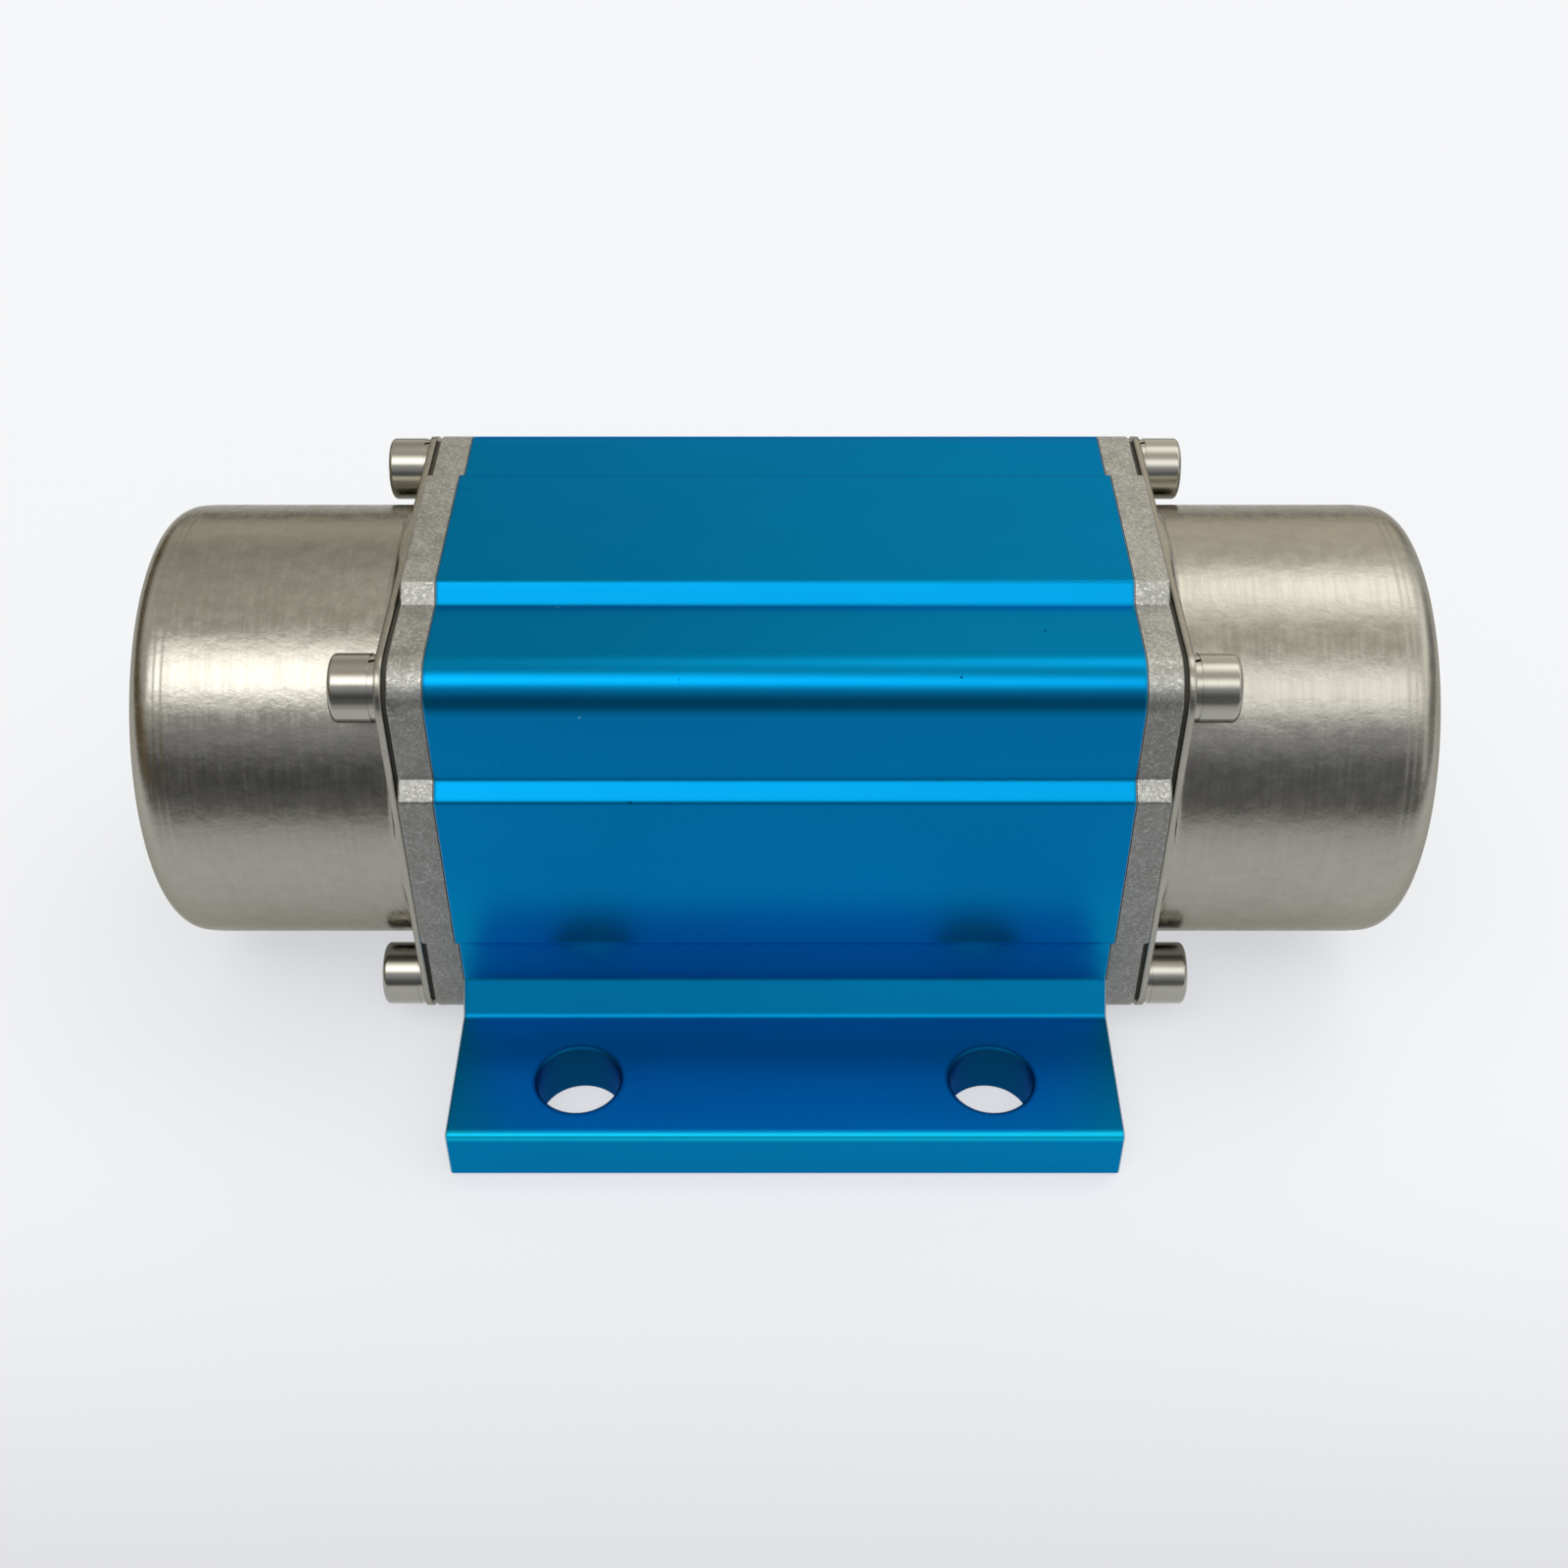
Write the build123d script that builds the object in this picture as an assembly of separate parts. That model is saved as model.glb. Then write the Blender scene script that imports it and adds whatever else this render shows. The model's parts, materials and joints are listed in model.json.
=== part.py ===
from build123d import *
from math import cos, pi, sin, tan
import os

# Vibration motor with a square extruded body, a foot along each side, and a cup over the
# eccentric weights at each end. Lengths are in millimetres.
#
# X runs along the shaft, +Y is the side with the cable gland, +Z is up. The origin is the centre
# of the foot's underside. Every piece is drawn about the shaft axis, and is raised to the shaft's
# height when it is written out. The right end (+X) is drawn; the left end is the right end turned
# half a turn about the upright axis.

# Body extrusion
body_length = 71.5
body_width = 48.8
corner_radius = 4.5
side_wall = 2.6
cut_end_chamfer = 0.15
land_width = 20.2
land_raise = 1.75
land_run = 1.65
land_edge_radius = 0.25
shield_floor_gap = 1.05

# Foot
foot_width = 88.0
foot_thickness = 6.5
foot_edge_radius = 0.5
flare_width = 2.75
flare_height = 3.28
flare_root_radius = 0.6
foot_hole_radius = 4.5
foot_hole_chamfer = 0.2
foot_hole_end_distance = 13.5
foot_hole_edge_distance = 7.8

# End shield casting
shield_thickness = 3.6
shield_edge_radius = 0.3
shield_land_radius = 0.5
spigot_length = 4.5
spigot_wall = 3.2
spigot_gap = 0.05
hub_wall = 3.2
rib_thickness = 2.4
rib_depth = 3.0
lip_thickness = 1.95
opening_gap = 1.4
oring_section = 1.5
oring_squeeze = 0.3
oring_groove_width = 2.0

# Cover cup, a drawn sheet, and its gasket
sheet = 0.7
cup_side_margin = 0.15
cup_depth = 28.25
cup_edge_radius = 3.0
cup_root_radius = 0.8
cup_mouth_radius = 0.35
draw_mark_distances = (1.1, 0.3)
draw_mark_depth = 0.05
draw_mark_run = 0.12
gasket_thickness = 0.4
gasket_inset = 0.6
gasket_overlap = 1.5

# Cover screws: M4 socket head cap screws with spring washers
screw_radius = 2.0
screw_length = 16.0
screw_head_radius = 3.5
screw_head_height = 4.0
screw_head_rounding = 0.55
screw_socket_across_flats = 3.0
screw_socket_depth = 2.0
screw_tip_chamfer = 0.4
screw_edge_distance = 3.9
thread_gap = 0.05
tapping_depth = 3.0
screw_hole_gap = 0.25
washer_radius = 3.4
washer_thickness = 0.7
washer_split = 0.35
washer_split_angle = 20.0

# Stator
stator_gap = 0.02
slot_count = 12
slot_depth = 5.08
yoke_thickness = 3.0
tooth_width = 3.4
tooth_tip = 0.9
slot_opening = 1.6
slot_corner_radius = 1.2
liner_thickness = 0.25
liner_overhang = 1.0
winding_overhang = 8.5
end_turn_gap = 1.3
end_turn_rounding = 1.8
hub_to_winding_gap = 5.5

# Rotor
air_gap = 0.3
bar_count = 14
bar_radius = 1.15
bar_cover = 0.45
cage_ring_thickness = 3.0
cage_shaft_gap = 1.85
shaft_radius = 5.0
shaft_shoulder = 1.0
shaft_chamfer = 0.5
press_gap = 0.01
running_gap = 0.03

# Ball bearings, 10 x 26 x 8
bearing_outer_radius = 13.0
bearing_width = 8.0
ball_count = 7
ball_radius = 2.381
ball_gap = 0.05
race_shoulder = 1.7
cage_half_thickness = 0.8
cage_lead = 1.2
cage_tail = 3.1
seal_thickness = 0.5
seal_inset = 0.15
seal_gap = 0.15
spring_room = 0.8
spring_thickness = 0.3
spring_rim = 2.6
spring_side_gap = 0.25

# Eccentric weights and what holds them on the shaft
weight_shield_gap = 2.0
weight_side_gap = 0.3
weight_tip_gap = 3.5
weight_hub_wall = 4.0
spacer_wall = 2.0
key_width = 3.0
key_height = 3.0
key_depth = 1.8
key_end_margin = 1.0
key_top_gap = 0.2
clamp_width = 13.0
clamp_height = 13.5
clamp_slit = 1.6
clamp_screw_height = 9.3
clamp_hole_gap = 0.2
clamp_screw_tip_gap = 1.0
ring_thickness = 1.0
ring_groove_depth = 0.4
ring_height = 1.7
ring_opening = 4.0
shaft_stub = 1.7
shaft_end_gap = 2.5

# Cable gland
gland_thread_radius = 6.0
gland_bore_radius = 3.25
gland_hex = 15.0
gland_hex_thickness = 4.0
gland_neck_radius = 5.5
gland_neck_length = 5.0
gland_neck_wall = 1.0
gland_nut_wall_gap = 0.05
gland_nut_hex_length = 6.5
gland_nut_dome_length = 5.0
gland_nut_top_radius = 5.2
gland_washer_thickness = 0.8
gland_washer_overhang = 1.0
gland_seal_gap = 0.05
gland_edge_chamfer = 0.6
gland_end_gap = 0.25
wire_groove_width = 6.0
wire_groove_depth = 1.6
wire_groove_overrun = 4.5

# Sizes that follow from those above
half_length = body_length / 2
half_width = body_width / 2
bore_radius = half_width - side_wall
axis_height = half_width + land_raise + shield_floor_gap
shield_face = half_length + shield_thickness
flange_back = shield_face + gasket_thickness
flange_face = flange_back + sheet
cup_radius = half_width - cup_side_margin
cup_bore = cup_radius - sheet
cup_end = flange_back + cup_depth
screw_pitch = body_width - 2 * screw_edge_distance
screw_hole_radius = screw_radius + screw_hole_gap
screw_seat = flange_face + washer_thickness
bearing_face = shield_face - lip_thickness
bearing_back = bearing_face - bearing_width
stack_half = bearing_back - hub_to_winding_gap - winding_overhang
slot_outer = bore_radius - stator_gap - yoke_thickness
slot_inner = slot_outer - slot_depth
stator_inner_radius = slot_inner - tooth_tip
rotor_radius = stator_inner_radius - air_gap
shaft_core_radius = shaft_radius + shaft_shoulder
ball_circle = (shaft_radius + bearing_outer_radius) / 2
inner_race_radius = ball_circle - race_shoulder
outer_race_radius = ball_circle + race_shoulder
spacer_radius = shaft_radius + spacer_wall
weight_start = shield_face + weight_shield_gap
shaft_end = cup_end - sheet - shaft_end_gap
ring_start = shaft_end - shaft_stub - ring_thickness
weight_thickness = (ring_start - weight_start - 2 * weight_side_gap) / 2
outer_weight_start = weight_start + weight_thickness + weight_side_gap
weight_radius = cup_bore - weight_tip_gap
weight_hub_radius = shaft_radius + weight_hub_wall
ring_groove_radius = shaft_radius - ring_groove_depth
wall_face = half_width + land_raise
gland_thread_length = wall_face - bore_radius - wire_groove_depth - gland_end_gap


def profile(*corners):
    """A closed face through (x, y, radius) corners, each rounded by its own radius."""
    face = make_face(Polyline(*[(x, y) for x, y, _ in corners], close=True))
    for x, y, radius in corners:
        if radius > 0:
            face = fillet(face.vertices().sort_by_distance((x, y, 0))[0], radius)
    return face


def turned(face):
    """A solid turned about the shaft from a face drawn as (distance along X, radius)."""
    return revolve(face, axis=Axis.X)


def ring(start, end, inner, outer, edge=0):
    """A plain turned ring between two stations on the shaft."""
    corners = ((start, inner, 0), (start, outer, edge), (end, outer, edge), (end, inner, 0))
    return turned(profile(*corners))


def slab(section, start, length):
    """A section drawn as (Y, Z) about the shaft, drawn out along X."""
    return extrude(Plane.YZ.offset(start) * section, length, dir=(1, 0, 0))


def corners_of(piece):
    """Four copies of a piece on the screw pattern, as separate solids."""
    half = screw_pitch / 2
    return [Pos(0, y, z) * piece for y in (-half, half) for z in (-half, half)]


def corner_circles(radius):
    """Four circles on the screw pattern."""
    return Sketch() + [spot * Circle(radius) for spot in GridLocations(screw_pitch, screw_pitch, 2, 2)]


def land(edge):
    """The raised land along the middle of the top face, with a sloped riser on each side."""
    top = half_width + land_raise
    outside = land_width / 2 + land_run
    return profile(
        (-outside, half_width - land_raise, 0),
        (-outside, half_width, 0),
        (-land_width / 2, top, edge),
        (land_width / 2, top, edge),
        (outside, half_width, 0),
        (outside, half_width - land_raise, 0),
    )


def square_section(turns, edge):
    """The rounded square with a land on each side that turns names, in degrees from the top."""
    square = RectangleRounded(body_width, body_width, corner_radius)
    return square + [Rot(0, 0, turn) * land(edge) for turn in turns]


def body_section():
    """The extruded section: square with three lands, flares and foot, and the stator bore."""
    base = -axis_height
    foot_top = base + foot_thickness
    foot = Pos(0, base + foot_thickness / 2) * RectangleRounded(foot_width, foot_thickness, foot_edge_radius)
    flare_foot = half_width + flare_width
    flare = profile(
        (-flare_foot, foot_top - foot_thickness / 2, 0),
        (-flare_foot, foot_top, 0),
        (-half_width, foot_top + flare_height, 0),
        (half_width, foot_top + flare_height, 0),
        (flare_foot, foot_top, 0),
        (flare_foot, foot_top - foot_thickness / 2, 0),
    )
    section = square_section((0, 90, 270), land_edge_radius) + foot + flare
    for side in (-flare_foot, flare_foot):
        root = section.vertices().sort_by_distance((side, foot_top, 0))[0]
        section = fillet(root, flare_root_radius)
    return section - Circle(bore_radius)


def foot_hole():
    """The cutter for one foot hole, with a small chamfer at each end."""
    wide = foot_hole_radius + foot_hole_chamfer
    step = (foot_thickness - foot_hole_chamfer) / 2
    hole = Cylinder(foot_hole_radius, 2 * foot_thickness)
    hole += Pos(0, 0, step) * Cone(foot_hole_radius, wide, foot_hole_chamfer)
    return hole + Pos(0, 0, -step) * Cone(wide, foot_hole_radius, foot_hole_chamfer)


def body_extrusion():
    """The body, with its foot holes, tapped corner holes, gland hole and wire groove."""
    body = slab(body_section(), -half_length, body_length)
    cut_ends = [face.outer_wire().edges() for face in body.faces().filter_by(Axis.X)]
    body = chamfer([edge for end in cut_ends for edge in end], cut_end_chamfer)
    spacing_x = body_length - 2 * foot_hole_end_distance
    spacing_y = foot_width - 2 * foot_hole_edge_distance
    middle = Pos(0, 0, foot_thickness / 2 - axis_height)
    body -= [middle * spot * foot_hole() for spot in GridLocations(spacing_x, spacing_y, 2, 2)]
    depth = screw_length + tapping_depth - (screw_seat - half_length)
    tapped = slab(corner_circles(screw_radius + thread_gap), half_length - depth, depth)
    body -= [tapped, left_end(tapped)]
    gland_hole = Cylinder(gland_thread_radius + thread_gap, half_width)
    body -= Pos(0, half_width, 0) * Rot(-90, 0, 0) * gland_hole
    return body - wire_groove()


def wire_groove():
    """The cutter for the groove in the bore, for the leads from the end turns to the gland."""
    start = -wire_groove_width / 2
    length = stack_half + wire_groove_overrun - start
    middle = bore_radius + wire_groove_depth / 2
    return Pos(start + length / 2, middle, 0) * Box(length, 2 * wire_groove_depth, wire_groove_width)


def left_end(piece):
    """A piece of the right end, turned to the left end."""
    return Rot(0, 0, 180) * piece


def end_shield(floor_depth):
    """The cast end shield: plate with lands, spigot with its groove, ribs and bearing hub."""
    plate = slab(square_section((0, 90, 180, 270), shield_land_radius), half_length, shield_thickness)
    plate = fillet(plate.faces().sort_by(Axis.X)[-1].outer_wire().edges(), shield_edge_radius)
    spigot_outer = bore_radius - spigot_gap
    spigot_inner = spigot_outer - spigot_wall
    hub_radius = bearing_outer_radius + hub_wall
    sunk = half_length + shield_thickness / 2
    plate += ring(half_length - spigot_length, sunk, spigot_inner, spigot_outer)
    plate += ring(bearing_back, sunk, bearing_outer_radius / 2, hub_radius, shield_edge_radius)
    reach = spigot_inner + spigot_wall / 2
    rib = Pos(half_length - rib_depth, 0, 0) * Box(
        rib_depth + shield_thickness / 2, rib_thickness, reach, align=(Align.MIN, Align.CENTER, Align.MIN)
    )
    plate += [Rot(turn, 0, 0) * rib for turn in (0, 90, 180, 270)]
    groove_middle = half_length - spigot_length / 2
    groove_floor = spigot_outer - (oring_section - oring_squeeze)
    half_groove = oring_groove_width / 2
    plate -= ring(groove_middle - half_groove, groove_middle + half_groove, groove_floor, bore_radius)
    pocket = Circle(bearing_outer_radius + press_gap)
    pocket_start = bearing_back - bearing_width
    plate -= slab(pocket, pocket_start, shield_face - floor_depth - pocket_start)
    plate -= slab(Circle(spacer_radius + opening_gap), half_length, 2 * shield_thickness)
    return plate - slab(corner_circles(screw_hole_radius), half_length, 2 * shield_thickness)


def shield_oring():
    """The O-ring, squeezed between the groove's floor and the stator bore."""
    height = oring_section - oring_squeeze + spigot_gap
    middle = bore_radius - height / 2
    return turned(Pos(half_length - spigot_length / 2, middle) * Circle(height / 2 - press_gap))


def cover_gasket():
    """The flat gasket under the cup's flange."""
    size = body_width - 2 * gasket_inset
    opening = Circle(cup_bore - gasket_overlap)
    sheet_shape = RectangleRounded(size, size, corner_radius - gasket_inset) - opening
    return slab(sheet_shape - corner_circles(screw_hole_radius), shield_face, gasket_thickness)


def cover_cup():
    """The drawn cup: square flange, small root radius, round wall, draw marks and closed end."""
    rim = body_width
    marks = []
    outer = cup_radius
    for distance in draw_mark_distances:
        start = cup_end - cup_edge_radius - distance
        marks.append((start, outer, 0))
        outer -= draw_mark_depth
        marks.append((start + draw_mark_run, outer, 0))
    shell = turned(
        profile(
            (flange_back, cup_bore, cup_mouth_radius),
            (flange_back, rim, 0),
            (flange_face, rim, 0),
            (flange_face, cup_radius, cup_root_radius),
            *marks,
            (cup_end, outer, cup_edge_radius),
            (cup_end, 0, 0),
            (cup_end - sheet, 0, 0),
            (cup_end - sheet, cup_bore, cup_edge_radius - sheet),
        )
    )
    outline = RectangleRounded(body_width, body_width, corner_radius)
    shell &= slab(outline, flange_back, cup_depth)
    return shell - slab(corner_circles(screw_hole_radius), flange_back - sheet, 3 * sheet)


def socket_screw(length):
    """A socket head cap screw along X, with the underside of its head at x = 0."""
    head = turned(
        profile(
            (0, 0, 0),
            (0, screw_head_radius, 0),
            (screw_head_height, screw_head_radius, screw_head_rounding),
            (screw_head_height, 0, 0),
        )
    )
    shank = turned(
        profile(
            (screw_head_height / 4, 0, 0),
            (screw_head_height / 4, screw_radius, 0),
            (screw_tip_chamfer - length, screw_radius, 0),
            (-length, screw_radius - screw_tip_chamfer, 0),
            (-length, 0, 0),
        )
    )
    hexagon = RegularPolygon(screw_socket_across_flats / 2, 6, major_radius=False)
    socket = slab(hexagon, screw_head_height - screw_socket_depth, screw_head_height)
    return head + shank - socket


def cover_screws():
    """The four screws of one end, seated on their spring washers."""
    return corners_of(Pos(screw_seat, 0, 0) * socket_screw(screw_length))


def spring_washers():
    """Four split spring washers, pressed flat."""
    washer = ring(flange_face, screw_seat, screw_radius + screw_hole_gap, washer_radius)
    middle = (flange_face + screw_seat) / 2
    split = Pos(middle, 0, washer_radius / 2) * Rot(0, 0, washer_split_angle)
    return corners_of(washer - split * Box(4 * washer_thickness, washer_split, washer_radius))


def slot_shape(inset):
    """One stator slot, pointing along +Y of the sketch, drawn in by inset on every side."""
    half_angle = pi / slot_count
    low = slot_inner + inset
    high = slot_outer - inset
    side = tooth_width / (2 * cos(half_angle)) + inset
    low_half = low * tan(half_angle) - side
    high_half = high * tan(half_angle) - side
    rounding = slot_corner_radius - inset
    return profile(
        (-low_half, low, 0),
        (-high_half, high, rounding),
        (high_half, high, rounding),
        (low_half, low, 0),
    )


def around(count, piece):
    """Copies of a sketch piece, evenly spaced round the shaft."""
    return [Rot(0, 0, step * 360 / count) * piece for step in range(count)]


def stator_core():
    """The laminated stack, with its slots open to the air gap."""
    opening = Pos(0, (stator_inner_radius + slot_inner) / 2) * Rectangle(slot_opening, 2 * tooth_tip)
    section = Circle(bore_radius - stator_gap) - Circle(stator_inner_radius)
    section -= around(slot_count, slot_shape(0) + opening)
    return slab(section, -stack_half, 2 * stack_half)


def slot_insulation():
    """A thin closed liner in each slot, standing a little out of the stack."""
    reach = stack_half + liner_overhang
    liner = slot_shape(stator_gap) - slot_shape(liner_thickness)
    return slab(Sketch() + around(slot_count, liner), -reach, 2 * reach)


def stator_windings():
    """The copper: a coil side in each slot, and a bound bundle of end turns at each end."""
    start = stack_half + end_turn_gap
    end = stack_half + winding_overhang
    inner = slot_inner + liner_thickness
    outer = slot_outer + liner_thickness
    bundle = turned(
        profile(
            (start, inner, 0),
            (start, outer, end_turn_rounding),
            (end, outer, end_turn_rounding),
            (end, inner, end_turn_rounding),
        )
    )
    reach = start + end_turn_gap
    sides = Sketch() + around(slot_count, slot_shape(liner_thickness + stator_gap))
    return slab(sides, -reach, 2 * reach) + [bundle, left_end(bundle)]


def cage_bars(radius):
    """The circles of the rotor's bars."""
    height = rotor_radius - bar_cover - bar_radius
    return around(bar_count, Pos(0, height) * Circle(radius))


def rotor_core():
    """The rotor's laminated stack on the shaft's core seat."""
    section = Circle(rotor_radius) - Circle(shaft_core_radius + press_gap)
    return slab(section - cage_bars(bar_radius), -stack_half, 2 * stack_half)


def rotor_cage():
    """The cast cage: bars through the core, and a short-circuit ring at each end."""
    inner = shaft_core_radius + cage_shaft_gap
    outer = rotor_radius - bar_cover
    edge = cage_ring_thickness / 6
    end_ring = ring(stack_half, stack_half + cage_ring_thickness, inner, outer, edge)
    reach = stack_half + cage_ring_thickness / 2
    bars = slab(Sketch() + cage_bars(bar_radius - press_gap), -reach, 2 * reach)
    return bars + [end_ring, left_end(end_ring)]


def shaft():
    """The stepped shaft, the same at both ends, with keyseats and ring grooves."""
    half = turned(
        profile(
            (0, 0, 0),
            (0, shaft_core_radius, 0),
            (bearing_back, shaft_core_radius, 0),
            (bearing_back, shaft_radius, 0),
            (shaft_end - shaft_chamfer, shaft_radius, 0),
            (shaft_end, shaft_radius - shaft_chamfer, 0),
            (shaft_end, 0, 0),
        )
    )
    groove_end = ring_start + ring_thickness + 2 * press_gap
    half -= ring(ring_start - 2 * press_gap, groove_end, ring_groove_radius, shaft_core_radius)
    half -= key_block(press_gap)
    return half + left_end(half)


def key_block(extra):
    """The parallel key of the inner weight, grown by extra on every side for its seat."""
    length = weight_thickness - 2 * key_end_margin + 2 * extra
    middle = weight_start + weight_thickness / 2
    centre = shaft_radius - key_depth + key_height / 2
    return Pos(middle, 0, centre) * Box(length, key_width + 2 * extra, key_height + 2 * extra)


def bearing_outer_ring():
    """The outer ring, with the ball groove turned into its bore."""
    blank = ring(bearing_back, bearing_face, outer_race_radius, bearing_outer_radius, shield_edge_radius)
    return blank - ball_groove()


def bearing_inner_ring():
    """The inner ring, with the ball groove turned into its outside."""
    return ring(bearing_back, bearing_face, shaft_radius + press_gap, inner_race_radius) - ball_groove()


def ball_groove():
    """The torus that the balls sweep, with their running gap."""
    middle = (bearing_back + bearing_face) / 2
    return turned(Pos(middle, ball_circle) * Circle(ball_radius + ball_gap))


def ball_spots():
    """The places of the balls round the shaft."""
    middle = (bearing_back + bearing_face) / 2
    return [Rot(step * 360 / ball_count, 0, 0) * Pos(middle, 0, ball_circle) for step in range(ball_count)]


def bearing_balls():
    """The balls, as separate solids."""
    return [spot * Sphere(ball_radius) for spot in ball_spots()]


def ball_cage():
    """The snap-in crown cage, one ring with a pocket round each ball."""
    middle = (bearing_back + bearing_face) / 2
    inner = ball_circle - cage_half_thickness
    outer = ball_circle + cage_half_thickness
    crown = ring(middle - cage_lead, middle + cage_tail, inner, outer)
    return crown - [spot * Sphere(ball_radius + ball_gap) for spot in ball_spots()]


def bearing_seals():
    """The two rubber seals, held in the outer ring."""
    inner = inner_race_radius + seal_gap
    near = bearing_back + seal_inset
    far = bearing_face - seal_inset
    seals = [ring(near, near + seal_thickness, inner, outer_race_radius - press_gap)]
    return seals + [ring(far - seal_thickness, far, inner, outer_race_radius - press_gap)]


def preload_spring():
    """The curved spring washer that loads the right bearing's outer ring."""
    outer = bearing_outer_radius - spring_side_gap
    rise = spring_room - spring_thickness - 2 * press_gap
    bow = (outer * outer + rise * rise) / (2 * rise)
    washer = ring(bearing_face - spring_room, bearing_face + 2 * spring_room, outer - spring_rim, outer)
    crown = bearing_face + spring_room - press_gap
    hollow = Pos(crown - bow, 0) * (Circle(bow) - Circle(bow - spring_thickness))
    shell = extrude(Plane.XZ.offset(-bearing_outer_radius) * hollow, 2 * bearing_outer_radius)
    return washer & shell


def spacer_sleeve():
    """The sleeve that carries the inner weight clear of the shield."""
    return ring(bearing_face, weight_start, shaft_radius + running_gap, spacer_radius)


def half_disc():
    """The eccentric outline of both weights: a half disc that hangs below a round hub."""
    lower = Pos(0, -weight_radius / 2) * Rectangle(2 * weight_radius, weight_radius)
    return (Circle(weight_radius) & lower) + Circle(weight_hub_radius)


def inner_weight():
    """The fixed weight, with its bore and keyway."""
    section = half_disc() - Circle(shaft_radius + running_gap)
    top = shaft_radius - key_depth + key_height + key_top_gap
    section -= Pos(0, top / 2) * Rectangle(key_width + 2 * running_gap, top)
    return slab(section, weight_start, weight_thickness)


def outer_weight():
    """The adjustable weight, split at the top and drawn shut by a clamp screw."""
    section = half_disc() + Pos(0, clamp_height / 2) * Rectangle(clamp_width, clamp_height)
    section -= Circle(shaft_radius + running_gap)
    section -= Pos(0, clamp_height / 2 + shaft_radius / 2) * Rectangle(clamp_slit, clamp_height)
    weight = slab(section, outer_weight_start, weight_thickness)
    wide = Cylinder(screw_radius + clamp_hole_gap, clamp_width)
    tapped = Cylinder(screw_radius + thread_gap, 2 * clamp_width)
    spotface = Cylinder(screw_head_radius + clamp_hole_gap, clamp_width)
    across = Pos(outer_weight_start + weight_thickness / 2, 0, clamp_screw_height) * Rot(-90, 0, 0)
    weight -= across * tapped
    weight -= across * Pos(0, 0, clamp_width / 2) * wide
    return weight - across * Pos(0, 0, clamp_width) * spotface


def clamp_screw():
    """The screw across the outer weight's split, its head on the +Y ear."""
    spot = Pos(outer_weight_start + weight_thickness / 2, clamp_width / 2, clamp_screw_height)
    return spot * Rot(0, 0, 90) * socket_screw(clamp_width - clamp_screw_tip_gap)


def retaining_ring():
    """The open ring in the shaft's groove."""
    reach = shaft_radius + ring_height
    blank = ring(ring_start, ring_start + ring_thickness, ring_groove_radius + press_gap, reach)
    gap = Pos(ring_start, 0, reach / 2) * Box(4 * ring_thickness, ring_opening, reach)
    return blank - gap


def at_gland(piece):
    """Turns a piece drawn along +Z from the wall's face to the gland's place on the back wall."""
    return Pos(0, wall_face, 0) * Rot(-90, 0, 0) * piece


def spun(*corners):
    """A solid turned about Z from (radius, height, rounding) corners."""
    return revolve(Plane.XZ * profile(*corners), axis=Axis.Z)


def hexagon_bar(height, start, length):
    """A hexagon bar along Z with turned corners."""
    bar = extrude(Pos(0, 0, start) * RegularPolygon(height / 2, 6, major_radius=False), length)
    widest = height / 3**0.5
    inner = height / 2
    round_off = spun(
        (0, start, 0),
        (inner, start, 0),
        (widest, start + gland_edge_chamfer, 0),
        (widest, start + length, 0),
        (0, start + length, 0),
    )
    return bar & round_off


def gland_washer():
    """The sealing washer between the wall and the gland body."""
    washer = Cylinder(gland_thread_radius + gland_washer_overhang, gland_washer_thickness)
    hole = Cylinder(gland_thread_radius + running_gap, 2 * gland_washer_thickness)
    return at_gland(Pos(0, 0, gland_washer_thickness / 2) * (washer - hole))


def gland_body():
    """The gland body: thread into the wall, hexagon, and the neck that the nut screws on."""
    hex_end = gland_washer_thickness + gland_hex_thickness
    neck_end = hex_end + gland_neck_length
    body = hexagon_bar(gland_hex, gland_washer_thickness, gland_hex_thickness)
    body += spun(
        (0, -gland_thread_length, 0),
        (gland_thread_radius - gland_edge_chamfer, -gland_thread_length, 0),
        (gland_thread_radius, gland_edge_chamfer - gland_thread_length, 0),
        (gland_thread_radius, hex_end, 0),
        (gland_neck_radius, hex_end, 0),
        (gland_neck_radius, neck_end, 0),
        (0, neck_end, 0),
    )
    socket = Cylinder(gland_neck_radius - gland_neck_wall, gland_neck_length)
    bore = Cylinder(gland_bore_radius, 4 * gland_hex)
    return at_gland(body - bore - Pos(0, 0, neck_end - gland_neck_length / 2) * socket)


def gland_seal():
    """The rubber seal in the neck, with the bore that grips a cable."""
    hex_end = gland_washer_thickness + gland_hex_thickness
    outer = gland_neck_radius - gland_neck_wall - gland_seal_gap
    seal = Cylinder(outer, gland_neck_length) - Cylinder(gland_bore_radius, 2 * gland_neck_length)
    return at_gland(Pos(0, 0, hex_end + gland_neck_length / 2) * seal)


def gland_nut():
    """The domed nut that squeezes the seal."""
    hex_end = gland_washer_thickness + gland_hex_thickness
    start = hex_end + gland_edge_chamfer
    shoulder = start + gland_nut_hex_length
    top = shoulder + gland_nut_dome_length - gland_edge_chamfer
    nut = hexagon_bar(gland_hex, start, gland_nut_hex_length)
    nut += spun(
        (0, shoulder - gland_edge_chamfer, 0),
        (gland_hex / 2, shoulder - gland_edge_chamfer, 0),
        (gland_hex / 2, shoulder, 0),
        (gland_nut_top_radius, top, gland_nut_dome_length / 4),
        (0, top, 0),
    )
    inside = Cylinder(gland_neck_radius + gland_nut_wall_gap, gland_neck_length)
    nut -= Pos(0, 0, hex_end + gland_neck_length / 2) * inside
    return at_gland(nut - Cylinder(gland_bore_radius, 8 * gland_hex))


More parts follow.
